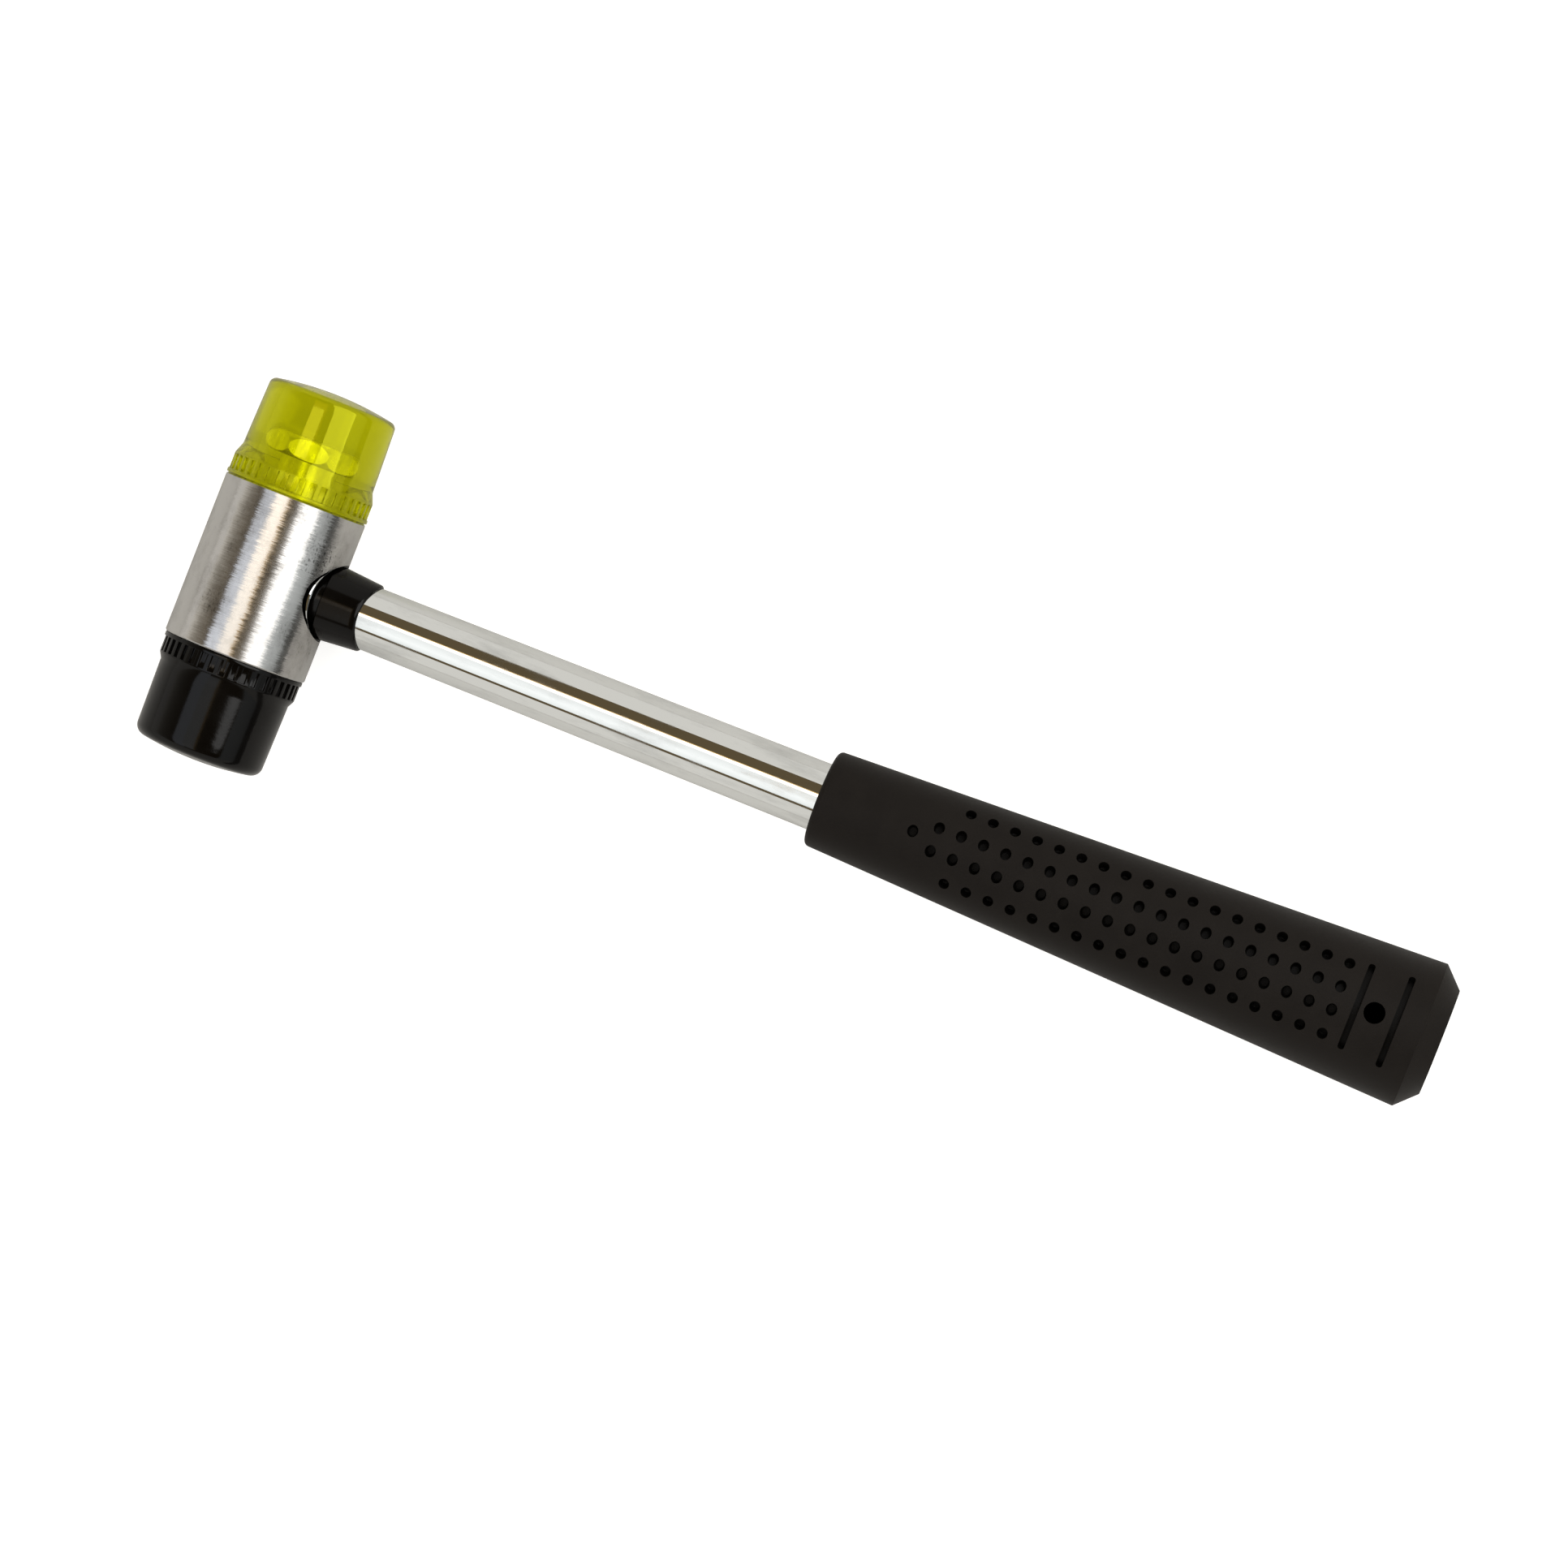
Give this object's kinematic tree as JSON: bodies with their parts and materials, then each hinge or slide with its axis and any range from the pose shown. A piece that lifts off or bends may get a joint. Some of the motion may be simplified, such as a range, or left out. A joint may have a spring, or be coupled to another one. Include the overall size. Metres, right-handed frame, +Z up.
{
  "type": "soft face hammer",
  "caption": "Double-faced soft hammer: steel barrel head with a screw-in clear hard face and a black rubber face, chromed tube handle and dotted rubber grip with a hang hole.",
  "frame": {"origin": "under the middle of the hammer's box, on the surface that it lies on", "axes": "+X along the handle to the butt, +Y along the head to the hard face, +Z up"},
  "size_m": [0.269, 0.0794, 0.0302],
  "materials": {
    "barrel_steel": "satin turned",
    "clear_plastic": "clear gloss",
    "bolt_steel": "zinc plated",
    "black_rubber": "gloss",
    "tube_chrome": "mirror",
    "collar_plastic": "semi-gloss",
    "grip_rubber": "matte"
  },
  "bodies": {
    "hammer": {"head_barrel": "barrel_steel", "handle_tube": "tube_chrome", "tube_plug": "bolt_steel", "handle_collar": "collar_plastic", "grip": "grip_rubber"},
    "hard_face_unit": {"hard_face": "clear_plastic", "hard_face_bolt": "bolt_steel"},
    "soft_face_unit": {"soft_face": "black_rubber", "soft_face_bolt": "bolt_steel"}
  },
  "joints": [
    {"name": "hard_face_out", "type": "slide", "parent": "hammer", "child": "hard_face_unit", "axis": [0, 1, 0], "range_m": [0, 0.012]},
    {"name": "soft_face_out", "type": "slide", "parent": "hammer", "child": "soft_face_unit", "axis": [0, -1, 0], "range_m": [0, 0.012]}
  ]
}
